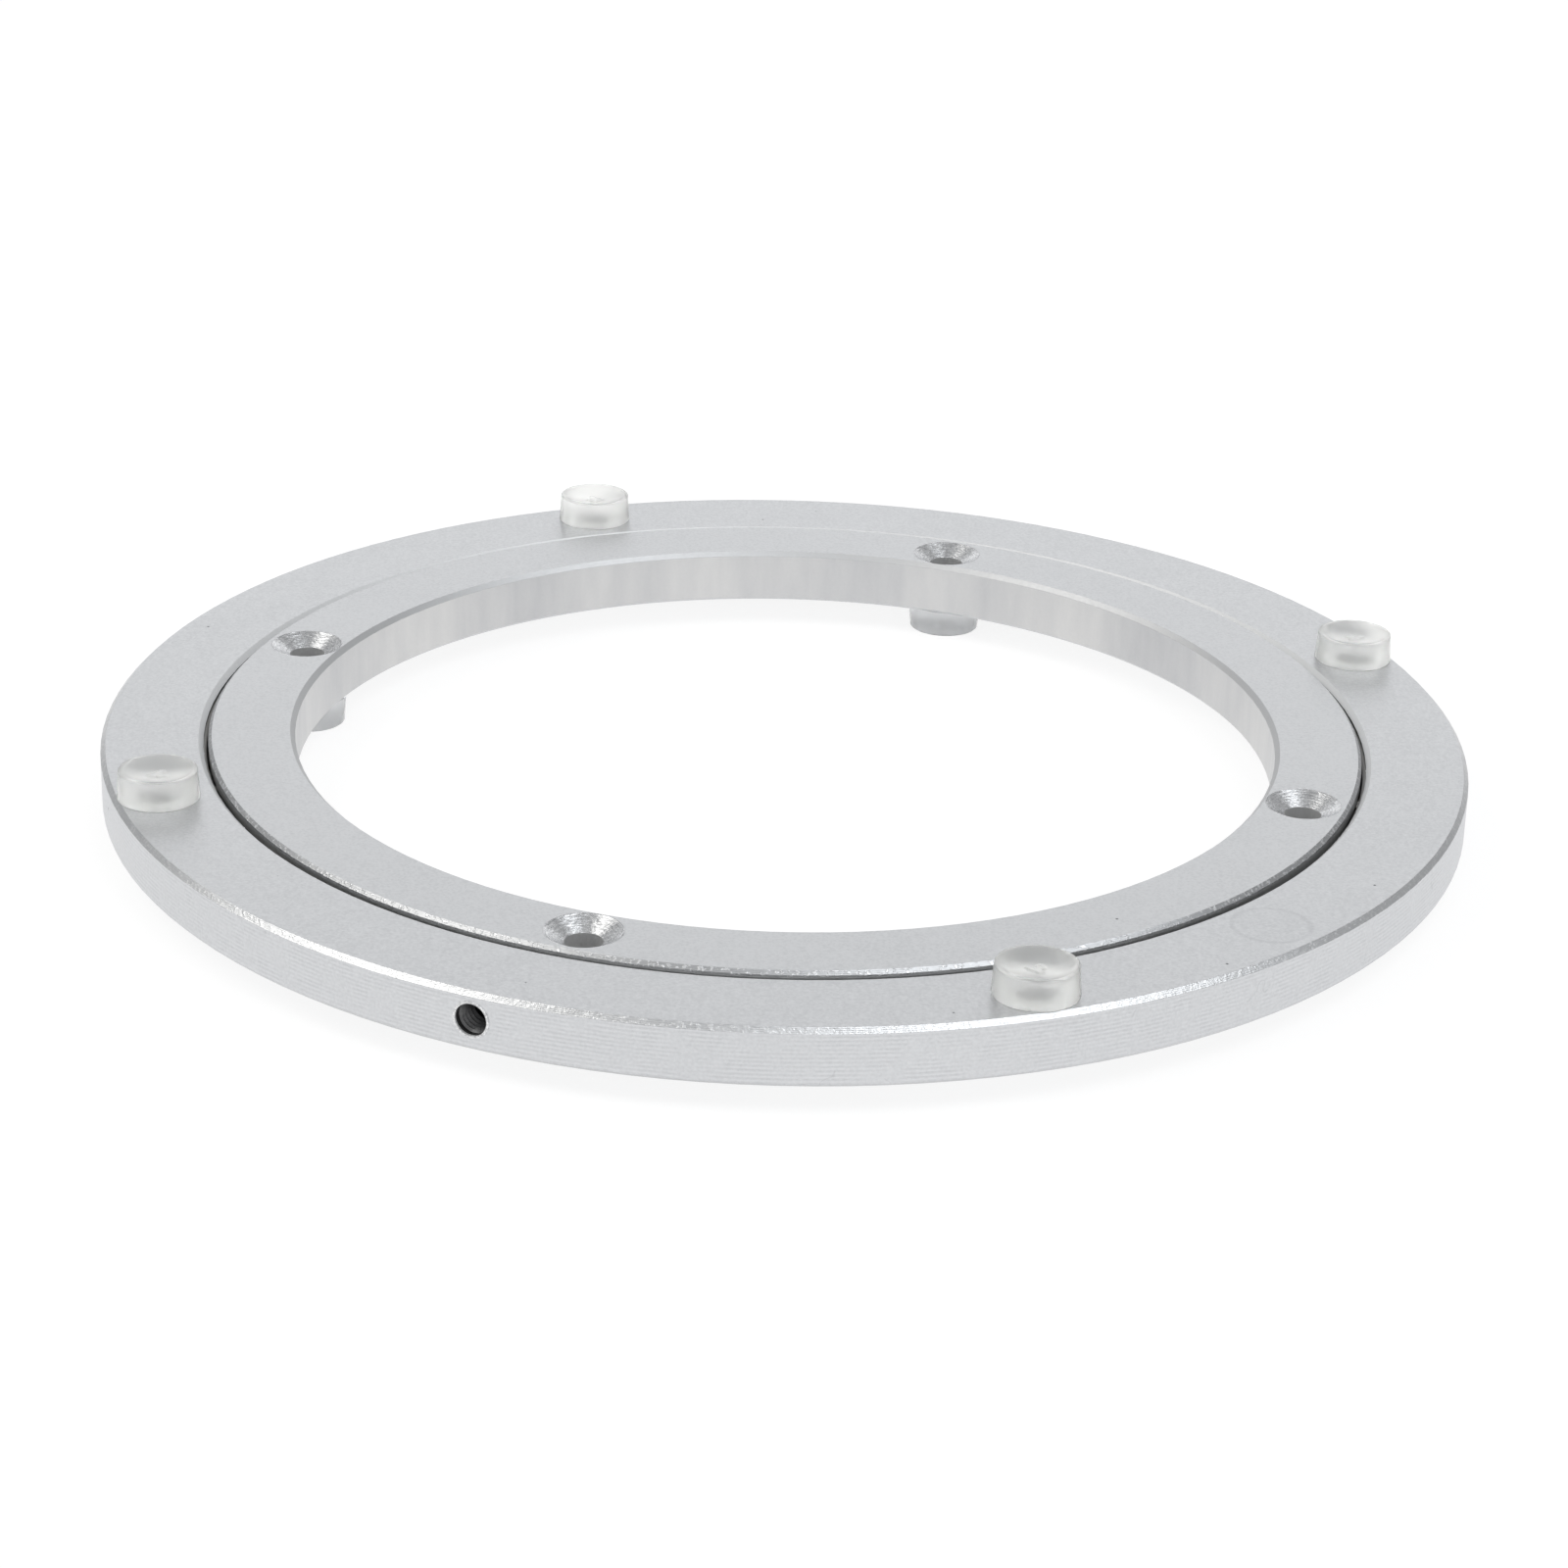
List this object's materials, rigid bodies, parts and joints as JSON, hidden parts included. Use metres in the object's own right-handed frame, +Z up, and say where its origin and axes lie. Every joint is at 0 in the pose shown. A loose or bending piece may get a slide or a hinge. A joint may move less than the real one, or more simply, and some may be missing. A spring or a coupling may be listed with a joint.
{
  "type": "lazy susan bearing",
  "caption": "Flat turntable bearing: an aluminium outer ring turns on hidden steel balls round a countersunk inner ring, with clear soft pads on top and feet below.",
  "frame": {"origin": "centre of the bearing on the plane its feet stand on", "axes": "+Z up along the bearing's axis; the picture looks along +Y"},
  "size_m": [0.2, 0.2, 0.0162],
  "materials": {
    "anodised_aluminium": "satin, fine bead-blasted and clear anodised, turned side wall",
    "ball_steel": "polished",
    "retainer_nylon": "matte",
    "plug_steel": "black oxide",
    "clear_pad": "frosted translucent"
  },
  "bodies": {
    "base": {"inner_ring": "anodised_aluminium", "foot_1": "clear_pad", "foot_2": "clear_pad", "foot_3": "clear_pad", "foot_4": "clear_pad"},
    "turntable": {"outer_ring": "anodised_aluminium", "loading_plug": "plug_steel", "pad_1": "clear_pad", "pad_2": "clear_pad", "pad_3": "clear_pad", "pad_4": "clear_pad"},
    "ball_train": {"retainer": "retainer_nylon", "ball_01": "ball_steel", "ball_02": "ball_steel", "ball_03": "ball_steel", "ball_04": "ball_steel", "ball_05": "ball_steel", "ball_06": "ball_steel", "ball_07": "ball_steel", "ball_08": "ball_steel", "ball_09": "ball_steel", "ball_10": "ball_steel", "ball_11": "ball_steel", "ball_12": "ball_steel", "ball_13": "ball_steel", "ball_14": "ball_steel", "ball_15": "ball_steel", "ball_16": "ball_steel", "ball_17": "ball_steel", "ball_18": "ball_steel", "ball_19": "ball_steel", "ball_20": "ball_steel", "ball_21": "ball_steel", "ball_22": "ball_steel", "ball_23": "ball_steel", "ball_24": "ball_steel"}
  },
  "joints": [
    {"name": "ring_turn", "type": "hinge", "parent": "base", "child": "turntable", "pos_m": [0, 0, 0.00809], "axis": [0, 0, 1], "continuous": true},
    {"name": "retainer_turn", "type": "hinge", "parent": "base", "child": "ball_train", "pos_m": [0, 0, 0.00809], "axis": [0, 0, 1], "continuous": true}
  ],
  "couplings": [
    {"joint": "retainer_turn", "follows": "ring_turn", "ratio": 0.51178}
  ]
}
